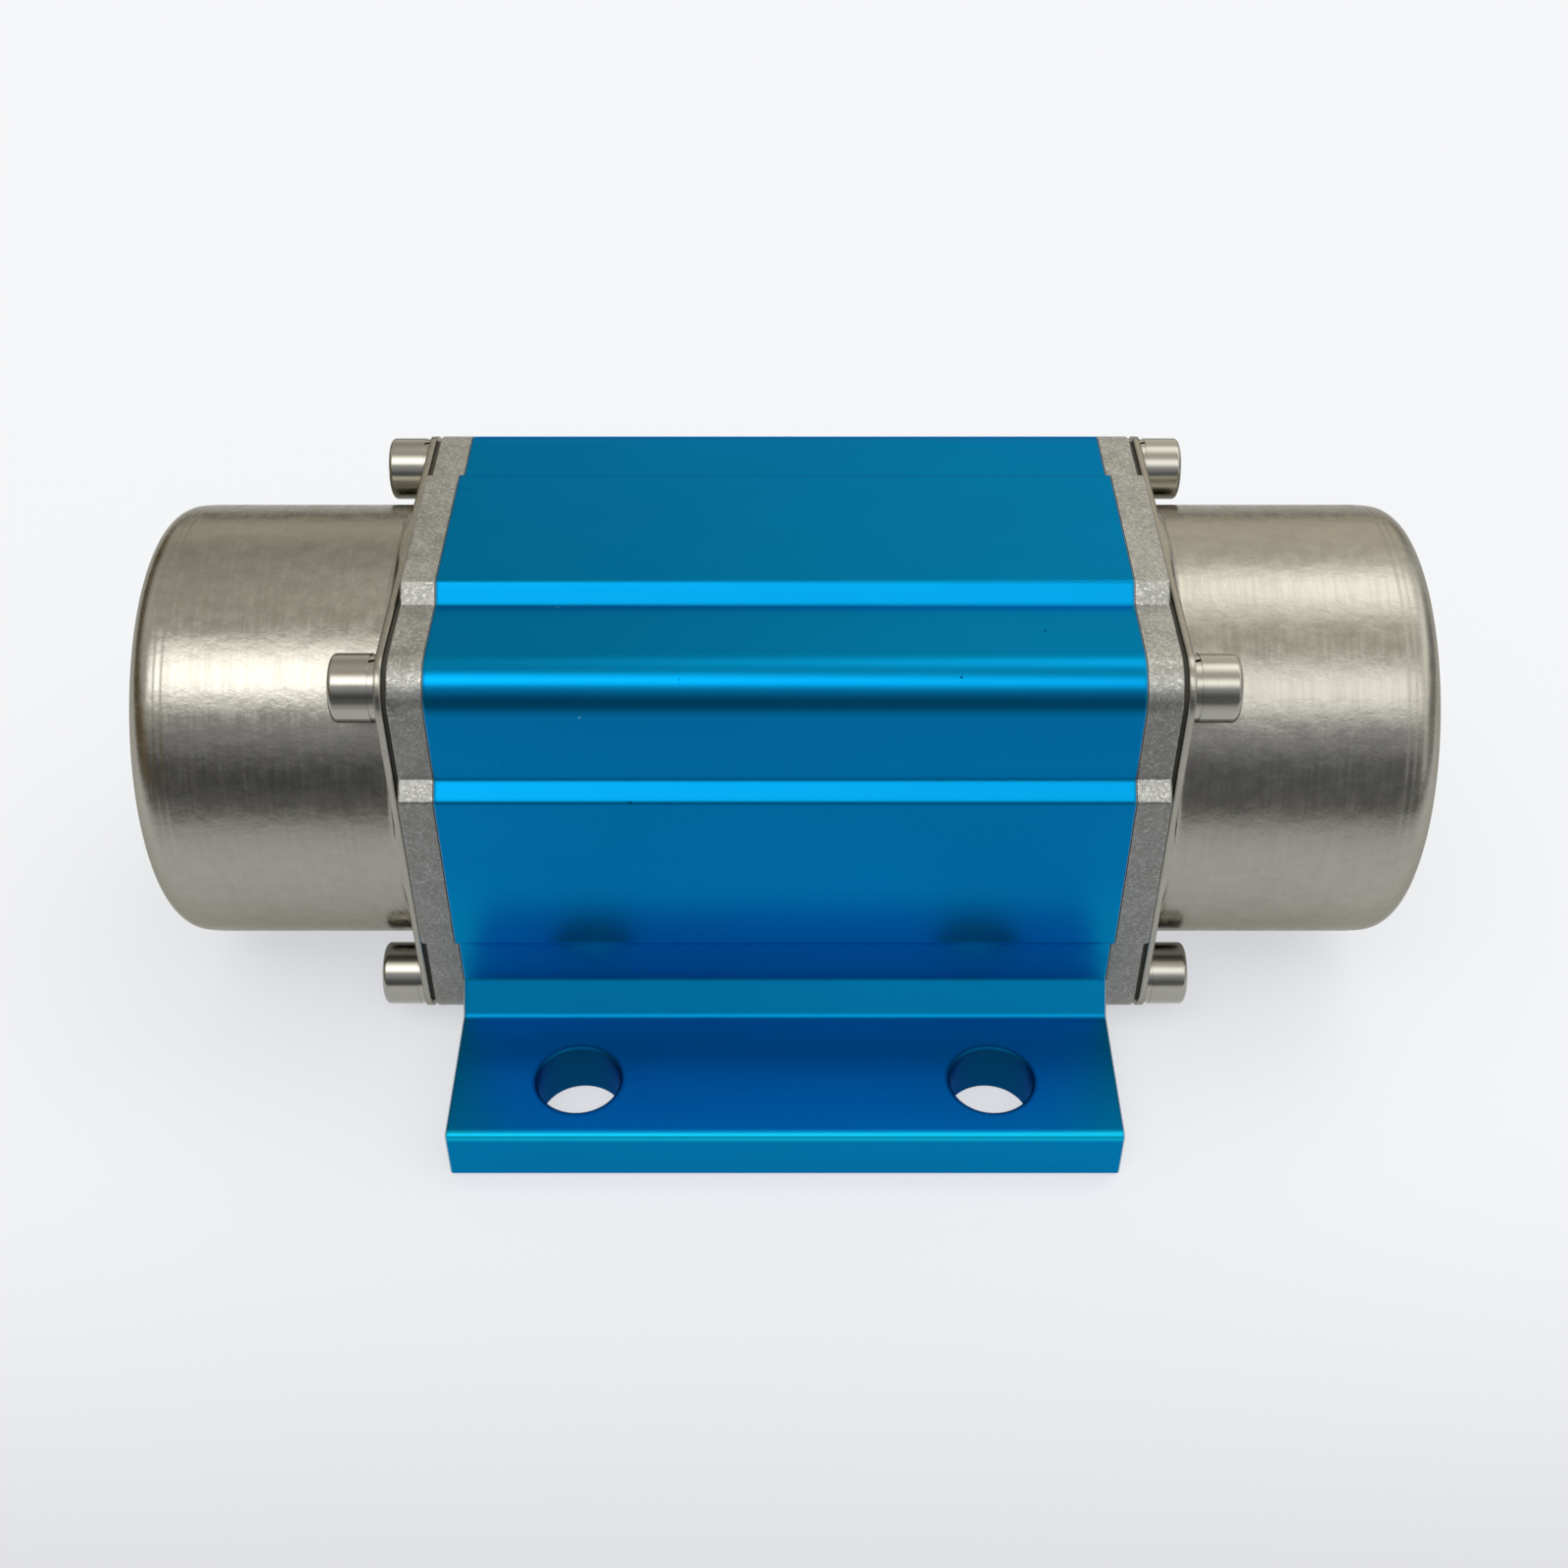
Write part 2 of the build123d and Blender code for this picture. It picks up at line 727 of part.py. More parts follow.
single_nodes = {
    "body_extrusion": body_extrusion,
    "stator_core": stator_core,
    "slot_insulation": slot_insulation,
    "stator_windings": stator_windings,
    "rotor_core": rotor_core,
    "rotor_cage": rotor_cage,
    "shaft": shaft,
    "right_preload_spring": preload_spring,
    "gland_washer": gland_washer,
    "gland_body": gland_body,
    "gland_seal": gland_seal,
    "gland_nut": gland_nut,
}

end_nodes = {
    "shield_oring": shield_oring,
    "cover_gasket": cover_gasket,
    "cover_cup": cover_cup,
    "cover_screws": cover_screws,
    "spring_washers": spring_washers,
    "bearing_outer_ring": bearing_outer_ring,
    "bearing_inner_ring": bearing_inner_ring,
    "bearing_balls": bearing_balls,
    "bearing_ball_cage": ball_cage,
    "bearing_seals": bearing_seals,
    "spacer_sleeve": spacer_sleeve,
    "inner_weight": inner_weight,
    "weight_key": lambda: key_block(0),
    "outer_weight": outer_weight,
    "clamp_screw": clamp_screw,
    "retaining_ring": retaining_ring,
}


def write(node, piece):
    """Raises a piece to the shaft's height and writes it as one node."""
    solids = piece if isinstance(piece, list) else piece.solids()
    raised = [Pos(0, 0, axis_height) * solid for solid in solids]
    export_step(Compound(children=raised) if len(raised) > 1 else raised[0], f"parts/{node}.step")


os.makedirs("parts", exist_ok=True)
for node, make in single_nodes.items():
    write(node, make())
write("right_end_shield", end_shield(lip_thickness - spring_room))
write("left_end_shield", left_end(end_shield(lip_thickness)))
for node, make in end_nodes.items():
    made = make()
    solids = made if isinstance(made, list) else made.solids()
    write(f"right_{node}", list(solids))
    write(f"left_{node}", [left_end(solid) for solid in solids])
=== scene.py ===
# %% [markdown]
# # A vibration motor and its finishes
# The motor is a blue anodised extrusion between two grey castings, with a stainless steel cup over
# the spinning weights at each end. Its pieces come from a frame that is already made at real size,
# in metres, so this lesson is mostly about light, finishes and the fine forms that light needs.

# %% Load the motor's frame
import json
import math

import bmesh
import bpy
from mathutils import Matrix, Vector


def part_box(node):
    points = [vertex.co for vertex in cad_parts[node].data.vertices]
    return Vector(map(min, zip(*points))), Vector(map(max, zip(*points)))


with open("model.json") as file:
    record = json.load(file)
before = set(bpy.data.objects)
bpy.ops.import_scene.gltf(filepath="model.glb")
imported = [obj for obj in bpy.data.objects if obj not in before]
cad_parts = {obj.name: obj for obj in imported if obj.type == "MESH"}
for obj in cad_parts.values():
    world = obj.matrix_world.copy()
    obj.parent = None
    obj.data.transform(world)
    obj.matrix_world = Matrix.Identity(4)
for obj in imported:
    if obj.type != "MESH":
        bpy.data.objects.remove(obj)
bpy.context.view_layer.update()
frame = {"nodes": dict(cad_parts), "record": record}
MM = 0.001

# %% [markdown]
# ## The camera
# The photograph looks down on the long side of the motor with a normal lens from close by, which
# is why the near corner looks longer than the far one. A camera fitted to the straight edges of the
# extrusion gives its place, its tilt and a small upward shift of the frame.

# %% Set the camera
CAMERA_PLACE = Vector((0.0, -177.0, 170.0)) * MM
CAMERA_TILT = math.radians(48.375)
LENS_MM = 45.52
SENSOR_MM = 36.0
FRAME_SHIFT = (-0.0006, 0.0187)
NEAREST = 10 * MM

camera_data = bpy.data.cameras.new("camera")
camera_data.lens = LENS_MM
camera_data.sensor_width = SENSOR_MM
camera_data.shift_x, camera_data.shift_y = FRAME_SHIFT
camera_data.clip_start = NEAREST
camera = bpy.data.objects.new("camera", camera_data)
camera.location = CAMERA_PLACE
camera.rotation_euler = (CAMERA_TILT, 0, 0)
bpy.context.collection.objects.link(camera)
bpy.context.scene.camera = camera
bpy.context.scene.view_settings.view_transform = "Standard"
print("camera at", [round(c, 3) for c in camera.location])

# %% [markdown]
# ## Shader maths as Python expressions
# A material is a tree of nodes joined by links. Writing 0.3 + 0.1 * grain is easier to read than
# three nodes and four links, so a small class wraps a link and turns each operator into a Math
# node. One method makes every other kind of node, from its type, its settings and its sockets.


# %% Wrap a link and a tree
class Link:
    """A number, colour or vector that runs along a link of a node tree."""

    def __init__(self, nodes, socket):
        self.nodes = nodes
        self.socket = socket

    def __add__(self, other):
        return self.nodes.maths("ADD", self, other)

    def __radd__(self, other):
        return self.nodes.maths("ADD", other, self)

    def __sub__(self, other):
        return self.nodes.maths("SUBTRACT", self, other)

    def __rsub__(self, other):
        return self.nodes.maths("SUBTRACT", other, self)

    def __mul__(self, other):
        return self.nodes.maths("MULTIPLY", self, other)

    def __rmul__(self, other):
        return self.nodes.maths("MULTIPLY", other, self)

    def __truediv__(self, other):
        return self.nodes.maths("DIVIDE", self, other)


class Nodes:
    """A node tree that is being built."""

    def __init__(self, tree):
        self.tree = tree

    def feed(self, node, sockets):
        """Gives each socket, found by its index, name or identifier, a link or a constant."""
        for key, value in sockets.items():
            if isinstance(key, int):
                socket = node.inputs[key]
            else:
                socket = next(s for s in node.inputs if s.enabled and key in (s.name, s.identifier))
            if isinstance(value, Link):
                self.tree.links.new(value.socket, socket)
            else:
                socket.default_value = value

    def node(self, kind, settings, sockets, output=None):
        """Makes a node, its settings first, and returns the link that leaves the output named."""
        made = self.tree.nodes.new(kind)
        for name, value in settings.items():
            setattr(made, name, value)
        self.feed(made, sockets)
        enabled = [s for s in made.outputs if s.enabled and output in (None, s.name)]
        return Link(self, enabled[0])

    def maths(self, operation, *values):
        return self.node("ShaderNodeMath", {"operation": operation}, dict(enumerate(values)))

    def vector_maths(self, operation, *values, output=None):
        return self.node("ShaderNodeVectorMath", {"operation": operation}, dict(enumerate(values)), output)

    def split(self, vector):
        """The three numbers of a vector."""
        return [self.node("ShaderNodeSeparateXYZ", {}, {0: vector}, axis) for axis in "XYZ"]

    def join(self, *numbers):
        return self.node("ShaderNodeCombineXYZ", {}, dict(enumerate(numbers)))

    def step(self, value, low, high):
        """0 up to low, 1 from high on, and smooth between."""
        sockets = {"Value": value, "From Min": low, "From Max": high}
        return self.node("ShaderNodeMapRange", {"interpolation_type": "SMOOTHSTEP"}, sockets, "Result")

    def mix(self, factor, low, high):
        """A colour, or a direction, between low and high."""
        low, high = ((*c, 1) if isinstance(c, tuple) else c for c in (low, high))
        settings = {"data_type": "RGBA"}
        return self.node("ShaderNodeMix", settings, {"Factor": factor, "A": low, "B": high}, "Result")


operators = [name for name, value in vars(Link).items() if callable(value) and name != "__init__"]
print("a link can be used with", operators)

# %% [markdown]
# ## The room
# Bare metal shows its surroundings more than its own colour, so the room matters as much as the
# finish. Each cup is a mirror that sees the room as a stack of bands, from the floor in front up over
# the ceiling to the wall behind, and the photograph's bands tell what stood where: a dark room near
# the front horizon, one long soft lamp high in front that is stronger on the left, and a second one
# past the zenith that only the right half shows. Area lamps could do this, but a shading of the
# world by direction gives the same soft bands with less noise and nothing in the way of other views.

# %% Grade the room from its front horizon over the ceiling to the back
world = bpy.data.worlds.new("studio")
bpy.context.scene.world = world
world.use_nodes = True
room = Nodes(world.node_tree)
rightwards, backwards, upwards = room.split(room.node("ShaderNodeTexCoord", {}, {}, "Generated"))
climb = room.maths("ARCTAN2", upwards, 0 - backwards) * (180 / math.pi)
RIGHT_HALF = 0.28
rightness = room.step(rightwards, -RIGHT_HALF, RIGHT_HALF)


def long_lamp(dark, full, fading, gone, radiance):
    """A soft lamp across the room, between climbs in degrees; 0 is the front horizon, 90 overhead."""
    return radiance * room.step(climb, dark, full) * (1 - room.step(climb, fading, gone))


front_left_lamp = long_lamp(dark=42, full=58, fading=62, gone=88, radiance=3.1)
front_right_lamp = long_lamp(dark=33, full=52, fading=55, gone=74, radiance=1.6)
stronger_outwards = 0.75 + 0.25 * room.step(rightwards, 0.17, 0.27)
back_right_lamp = long_lamp(dark=82, full=112, fading=112, gone=132, radiance=1.8) * stronger_outwards
lamps = front_left_lamp + (front_right_lamp + back_right_lamp - front_left_lamp) * rightness
print("the lamps take", len(world.node_tree.nodes), "nodes")

# %% Paint the walls and the ceiling
COOL_GREY = (0.98, 1.0, 1.10)
WARM_GREY = (1.06, 1.0, 0.88)
dark_horizon = 0.12 + 0.37 * room.step(climb, 10, 36) + 0.06 * rightness
left_ceiling = 0.13 * room.step(climb, 60, 95) * (1 - room.step(climb, 100, 140))
right_ceiling = 0.13 * room.step(climb, 60, 130) + 0.20 * room.step(climb, 20, 120)
ceiling = left_ceiling * (1 - rightness) + right_ceiling * rightness
back_wall = (0.26 - 0.18 * rightness) * room.step(climb, 140, 158) - 0.57 * room.step(climb, 165, 179)
tint = room.mix(room.step(climb, 25, 75), COOL_GREY, WARM_GREY)
walls = room.vector_maths("MULTIPLY", tint, dark_horizon + ceiling + back_wall)
along_motor = room.vector_maths("ADD", walls, lamps)
print("with the walls it is", len(world.node_tree.nodes), "nodes")

# %% Close the room with an end wall on the left and one with a window on the right
LEFT_WALL_LOW = (0.20, 0.16, 0.10)
LEFT_WALL_HIGH = (0.75, 0.73, 0.68)
RIGHT_WALL_LOW = (0.36, 0.36, 0.35)
RIGHT_WALL_HIGH = (1.05, 1.03, 0.98)
WINDOW = 0.5
overhead = room.step(upwards, 0.3, 0.6)
left_wall = room.mix(overhead, LEFT_WALL_LOW, LEFT_WALL_HIGH)
window = WINDOW * room.step(rightwards, 0.55, 0.72) * (1 - room.step(rightwards, 0.74, 0.91))
right_wall = room.vector_maths("ADD", room.mix(overhead, RIGHT_WALL_LOW, RIGHT_WALL_HIGH), window)
end_walls = room.mix(room.step(rightwards, -0.1, 0.1), left_wall, right_wall)
towards_ends = room.step(room.maths("ABSOLUTE", rightwards), 0.35, 0.65)
light = room.mix(towards_ends, along_motor, end_walls)
room.feed(world.node_tree.nodes["Background"], {"Color": light, "Strength": 1.0})
print("the whole room has", len(world.node_tree.nodes), "nodes")

# %% [markdown]
# ## The floor
# The motor stands on a white floor that keeps its shadow. Towards the front, most of it below the
# picture, the floor is painted down to a grey like the room's, as painted shade: that is the lower
# half of the dark band in the cups. Paper under a soft room renders light grey, not white, and more
# light would burn the metal out. So a little over half of what the camera and the metal see of it is
# a plain glow, and the rest keeps the shadow. The glow carries the same painted shade.

# %% Lay the floor
FLOOR_SIZE = 6.0
SHADE_FRONT = -0.225
SHADE_BACK = -0.030
WHITE = (0.785, 0.80, 0.83)
PAINTED_SHADE_GREY = (0.157, 0.16, 0.166)
GLOW_SHARE = 0.55
GLOW = 1.25

floor_mesh = bpy.data.meshes.new("floor")
sheet = bmesh.new()
bmesh.ops.create_grid(sheet, x_segments=1, y_segments=1, size=FLOOR_SIZE / 2)
sheet.to_mesh(floor_mesh)
sheet.free()
floor = bpy.data.objects.new("floor", floor_mesh)
bpy.context.collection.objects.link(floor)
print("floor of", FLOOR_SIZE, "m")

# %% Shade the floor, with a share of plain glow for what the camera and the metal see
PAPER_ROUGHNESS = 0.9
PAPER_SHINE = 0.1

paper = bpy.data.materials.new("white_paper")
paper.use_nodes = True
tree = Nodes(paper.node_tree)
spot = tree.node("ShaderNodeTexCoord", {}, {}, "Object")
# Painted shade: the floor's colour falls from white near the motor to grey in front, in its glow too.
colour = tree.mix(tree.step(tree.split(spot)[1], SHADE_FRONT, SHADE_BACK), PAINTED_SHADE_GREY, WHITE)
lit_paper = paper.node_tree.nodes["Principled BSDF"]
tree.feed(lit_paper, {"Base Color": colour, "Roughness": PAPER_ROUGHNESS, "Specular IOR Level": PAPER_SHINE})
kinds = ("Camera", "Glossy", "Transmission")
rays = [tree.node("ShaderNodeLightPath", {}, {}, f"Is {kind} Ray") for kind in kinds]
seen = tree.maths("MINIMUM", rays[0] + rays[1] + rays[2], 1.0)
own_glow = tree.node("ShaderNodeEmission", {}, {"Color": colour, "Strength": GLOW})
lit = Link(tree, lit_paper.outputs["BSDF"])
sum_of_both = tree.node("ShaderNodeMixShader", {}, {0: GLOW_SHARE * seen, 1: lit, 2: own_glow})
tree.feed(paper.node_tree.nodes["Material Output"], {"Surface": sum_of_both})
floor_mesh.materials.append(paper)
print("the paper's glow is", GLOW_SHARE, "of what is seen")

# %% [markdown]
# ## What a finish is made of
# Each finish starts from what the metal is and how it was worked. Its colour, its roughness and a
# little bump follow the same pattern, because on the real piece they have one cause: a brush line is
# at once a groove, a duller stripe and a slightly darker one.

# %% Start a finish
shaft_low, shaft_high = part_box("shaft")
AXLE = (Vector(shaft_low) + Vector(shaft_high)) / 2
EDGE_SAMPLES = 6


class Finish(Nodes):
    """A material with a Principled shader, built through the same tree methods."""

    def __init__(self, name, metallic=1.0):
        self.material = bpy.data.materials.new(name)
        self.material.use_nodes = True
        super().__init__(self.material.node_tree)
        self.here = self.node("ShaderNodeTexCoord", {}, {}, "Object")
        self.set({"Metallic": metallic})

    def set(self, sockets):
        self.feed(self.material.node_tree.nodes["Principled BSDF"], sockets)
        return self.material

    def noise(self, size_mm, detail=4.0, roughness=0.5):
        """A cloudy pattern; size_mm is the size of its features, or a size for each axis."""
        sizes = size_mm if isinstance(size_mm, tuple) else (size_mm,) * 3
        place = self.vector_maths("DIVIDE", self.here, tuple(s * MM for s in sizes))
        sockets = {"Vector": place, "Scale": 1.0, "Detail": detail, "Roughness": roughness}
        return self.node("ShaderNodeTexNoise", {}, sockets, "Fac")

    def rings(self, size_mm, axle="X", drift_mm=11.0, detail=3.0):
        """Marks that run round an axle, as a lathe or a brush on a turning piece leaves them."""
        along_axle = Vector((1, 0, 0)) if axle == "X" else Vector((0, 1, 0))
        from_axle = self.vector_maths("SUBTRACT", self.here, tuple(AXLE))
        outwards = self.vector_maths("MULTIPLY", from_axle, tuple(Vector((1, 1, 1)) - along_axle))
        radius = self.vector_maths("LENGTH", outwards, output="Value")
        along = self.vector_maths("DOT_PRODUCT", self.here, tuple(along_axle), output="Value")
        side_x, side_y, side_z = self.split(self.vector_maths("DIVIDE", outwards, (drift_mm * MM,) * 3))
        place = self.join(along / (size_mm * MM), radius / (size_mm * MM), side_x + side_y)
        sockets = {"Vector": place, "W": side_z, "Scale": 1.0, "Detail": detail}
        return self.node("ShaderNodeTexNoise", {"noise_dimensions": "4D"}, sockets, "Fac")

    def bump(self, height, depth_mm, under=None):
        """Turns a height from 0 to 1 into dents, depth_mm deep, and adds them to the bump under them."""
        sockets = {"Height": height, "Distance": depth_mm * MM, "Strength": 1.0}
        if under:
            sockets["Normal"] = under
        return self.node("ShaderNodeBump", {}, sockets, "Normal")

    def rounded(self, radius_mm):
        """The surface's direction, with its edges rounded over."""
        return self.node("ShaderNodeBevel", {"samples": EDGE_SAMPLES}, {"Radius": radius_mm * MM}, "Normal")

    def specks(self, apart_mm, size_mm):
        """Rare round specks: a point in each cell of a lattice, seen only where it meets the surface."""
        place = self.vector_maths("DIVIDE", self.here, (apart_mm * MM,) * 3)
        sockets = {"Vector": place, "Scale": 1.0}
        near = self.node("ShaderNodeTexVoronoi", {"feature": "F1"}, sockets, "Distance")
        return 1 - self.step(near, 0.6 * size_mm / apart_mm, size_mm / apart_mm)

    def grains(self, size_mm):
        """A mosaic of small crystals, each with a number from 0 to 1."""
        place = self.vector_maths("DIVIDE", self.here, (size_mm * MM,) * 3)
        sockets = {"Vector": place, "Scale": 1.0}
        cells = self.node("ShaderNodeTexVoronoi", {"feature": "F1"}, sockets, "Color")
        return self.split(cells)[0]


print("the axle is", [round(c / MM, 2) for c in AXLE], "mm from the middle of the foot")

# %% [markdown]
# ## Blue anodised aluminium
# Anodising dyes a clear skin on the metal, so the piece still shines like metal, but all its light
# is blue. That is a metallic shader with a deep blue base colour. The extrusion die leaves faint
# lines along the bar, the etch before the dye leaves a satin, and the dye is a little uneven, with a
# few specks. The upper flats of the sides, but not the lands' slopes, are painted a darker blue as
# painted shade. The bar is sawn to length after the dye, so its cut ends and their small chamfer are
# bare aluminium.
#
# The foot differs from the rest. Its holes are painted dark as painted shade, its outer top edge has a
# painted highlight of lighter blue, and it is duller, with the wall just above it. The small radius
# that the die gives every edge is rounded in the shading, except round the drilled holes and on the
# flat underside.

# %% Find the foot's holes and edges from the frame
body_low, body_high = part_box("body_extrusion")
HALF_LENGTH_MM = (body_high[0] - body_low[0]) / 2 / MM
foot_holes = next(m for m in frame["record"]["mounts"] if m["name"] == "foot_holes")
holes = foot_holes["dims"]
HOLE_PLACE = Vector((holes["spacing_x_mm"] / 2, holes["spacing_y_mm"] / 2, 0)) * MM
HOLE_MM = holes["hole_r_mm"]
FOOT_TOP = 2 * foot_holes["pos_m"][2]
FOOT_EDGE = Vector((0, body_high[1], FOOT_TOP))
print("foot holes at", [round(c / MM, 2) for c in HOLE_PLACE], "mm and mirrored")

# %% Tell the flats of the sides from the top and the slopes of the lands
LAND_HALF_MM = 10.1
SLOPE_RUN_MM = 1.7
SLOPE_SOFT_MM = 0.2
TOP_FROM = 1.70 * AXLE.z
TOP_WHOLLY = 1.80 * AXLE.z


def land_slopes(finish, height):
    """1 on the two slopes of the land along each side of the body and the shields."""
    from_axle = finish.maths("ABSOLUTE", height - AXLE.z)
    starts, ends = (
        finish.step(from_axle, (edge_mm - SLOPE_SOFT_MM) * MM, (edge_mm + SLOPE_SOFT_MM) * MM)
        for edge_mm in (LAND_HALF_MM, LAND_HALF_MM + SLOPE_RUN_MM))
    return starts * (1 - ends)


def side_flats(finish, height):
    """1 on the flats of the sides, 0 on the top and on the slopes of the lands."""
    return (1 - finish.step(height, TOP_FROM, TOP_WHOLLY)) * (1 - land_slopes(finish, height))


print("the top starts", round(TOP_FROM / MM, 1), "mm above the floor")

# %% Mix the dye, with painted shade on the flats of the sides
DEEP_BLUE = (0.001, 0.187, 0.412)
LIGHT_BLUE = (0.001, 0.229, 0.481)
# Painted shade on the upper flats of the sides.
SIDE_SHADE_FILTER = (1.0, 0.85, 0.96)
THICK_DYE_AND_HOLE_SHADE = (0.0, 0.03, 0.10)
THIN_DYE = (0.12, 0.45, 0.62)
SIDES_FROM = 0.74 * AXLE.z
SIDES_WHOLLY = 1.1 * AXLE.z


def blue_dye_and_side_shade(finish, die_lines, height):
    """The blue of the skin: uneven, painted darker on the upper side flats as shade, with rare specks."""
    uneven = finish.noise((28, 16, 16), detail=3)
    blue = finish.mix(0.95 * uneven + 0.05 * die_lines, DEEP_BLUE, LIGHT_BLUE)
    # The upper flats of the sides are painted darker: painted shade.
    side_shade = finish.step(height, SIDES_FROM, SIDES_WHOLLY) * side_flats(finish, height)
    blue = finish.mix(side_shade, blue, finish.vector_maths("MULTIPLY", blue, SIDE_SHADE_FILTER))
    speck = finish.specks(apart_mm=6.5, size_mm=0.16)
    thin = finish.step(finish.noise(30), 0.45, 0.55)
    return finish.mix(speck, blue, finish.mix(thin, THICK_DYE_AND_HOLE_SHADE, THIN_DYE))


print("the dye runs from", DEEP_BLUE, "to", LIGHT_BLUE)

# %% Mark the foot's holes for painted shade and its outer top edge for a painted highlight
HOLE_RIM_MM = (0.1, 0.7)
PAINTED_HIGHLIGHT_MM = (0.5, 1.1)


def near_point(finish, place, point, whole, gone):
    """1 within one distance of a point, 0 beyond another."""
    away = finish.vector_maths("SUBTRACT", place, tuple(point))
    return 1 - finish.step(finish.vector_maths("LENGTH", away, output="Value"), whole, gone)


def foot_marks(finish, from_middle, from_side, height):
    """1 in the holes and rims (painted shade) and along the outer top edges (painted highlight)."""
    seen_from_above = finish.join(from_middle, from_side, 0.0)
    rim = [(HOLE_MM + mm) * MM for mm in HOLE_RIM_MM]
    drilled = near_point(finish, seen_from_above, HOLE_PLACE, *rim)
    seen_from_end = finish.join(0.0, from_side, height)
    painted_highlight = near_point(finish, seen_from_end, FOOT_EDGE, *(mm * MM for mm in PAINTED_HIGHLIGHT_MM))
    return drilled, painted_highlight


print("the rubbed edge lies", round(FOOT_TOP / MM, 1), "mm above the floor")

# %% Blue anodised aluminium
PAINTED_HIGHLIGHT_BLUE = (0.005, 0.46, 0.72)
BARE_ALUMINIUM = (0.50, 0.56, 0.60)
EDGE_MM = 0.6
BARE_FROM = (HALF_LENGTH_MM - 0.17) * MM
BARE_WHOLLY = (HALF_LENGTH_MM - 0.12) * MM
DULL_UP_TO = 0.48 * AXLE.z
DULL_GONE = 0.56 * AXLE.z
UNDERSIDE_UP_TO = 1.0 * MM
UNDERSIDE_GONE = 2.0 * MM


def blue_anodised():
    finish = Finish("blue_anodised")
    die_lines = finish.noise((80, 0.5, 0.5), detail=2)
    satin = finish.noise(0.11, detail=2)
    mirrored = finish.vector_maths("ABSOLUTE", finish.here)
    from_middle, from_side, height = finish.split(mirrored)
    drilled, painted_highlight = foot_marks(finish, from_middle, from_side, height)
    # A painted highlight: the foot's outer top edge is painted a lighter blue.
    dye_and_painted_light = finish.mix(painted_highlight, blue_dye_and_side_shade(finish, die_lines, height), PAINTED_HIGHLIGHT_BLUE)
    # Painted shade: the foot's holes are painted dark.
    dye_and_painted_light = finish.mix(0.8 * drilled, dye_and_painted_light, THICK_DYE_AND_HOLE_SHADE)
    sawn = finish.step(from_middle, BARE_FROM, BARE_WHOLLY)
    dull = 1 - finish.step(height, DULL_UP_TO, DULL_GONE)
    underside = 1 - finish.step(height, UNDERSIDE_UP_TO, UNDERSIDE_GONE)
    flat = finish.node("ShaderNodeNewGeometry", {}, {}, "Normal")
    edges = finish.mix(finish.maths("MAXIMUM", drilled, underside), finish.rounded(EDGE_MM), flat)
    return finish.set({
        "Metallic": 0.95,
        "Base Color": finish.mix(sawn, dye_and_painted_light, BARE_ALUMINIUM),
        "Specular Tint": (0.0, 0.5, 0.9, 1.0),
        "Roughness": 0.225 + 0.01 * die_lines + 0.04 * satin + 0.1 * sawn + 0.12 * dull,
        "Normal": finish.bump(0.9 * satin + 0.1 * die_lines, 0.002, under=edges)})


print("bare aluminium from", round(BARE_FROM / MM, 2), "mm out")

# %% [markdown]
# ## Cast aluminium
# The shields are die castings that were blasted to an even grey. Close up the grey is a fine mosaic
# of crystals, a few of them painted light as painted glints. The flats of the sides are painted a
# darker grey than the top and the narrow slopes of the lands, as painted shade.

# %% Cast aluminium
CAST_DARK = (0.27, 0.27, 0.25)
CAST_LIGHT = (0.47, 0.47, 0.444)
CAST_GLINT = (0.80, 0.80, 0.76)
CAST_SHADE = (0.11, 0.11, 0.10)


def cast_aluminium():
    finish = Finish("cast_aluminium")
    blasting = finish.noise(0.35, detail=5, roughness=0.7)
    patches = finish.noise(2.6)
    crystals = finish.grains(0.22)
    glint = finish.step(crystals, 0.72, 0.95)
    tone = 0.45 * blasting + 0.40 * patches + 0.15 * crystals
    grey = finish.mix(finish.step(tone, 0.3, 0.7), CAST_DARK, CAST_LIGHT)
    flats = side_flats(finish, finish.split(finish.here)[2])
    return finish.set({
        # Painted glints on a few crystals, and painted shade on the flats of the sides.
        "Base Color": finish.mix(0.45 * flats, finish.mix(0.22 * glint, grey, CAST_GLINT), CAST_SHADE),
        "Roughness": 0.32 + 0.2 * patches - 0.06 * glint,
        "Normal": finish.bump(blasting + 0.5 * crystals, 0.035)})


print("cast aluminium runs from", CAST_DARK, "to", CAST_LIGHT)

# %% [markdown]
# ## Drawn stainless sheet
# A cup is pressed from sheet and then polished while it spins, so fine marks and duller streaks run
# round it. Handling and the press leave shallow dents a millimetre or so wide, which tear the edges of
# its highlights. The lines that the press leaves near its end are too crisp as modelled, so the
# shading rounds them, and a dull warm tint keeps the cup's outline from turning white.

# %% Drawn stainless sheet
SHEET_DARK = (0.28, 0.268, 0.23)
SHEET_LIGHT = (0.45, 0.435, 0.382)
SHEET_OUTLINE = (0.62, 0.60, 0.55, 1.0)
PRESSED_MM = 0.45


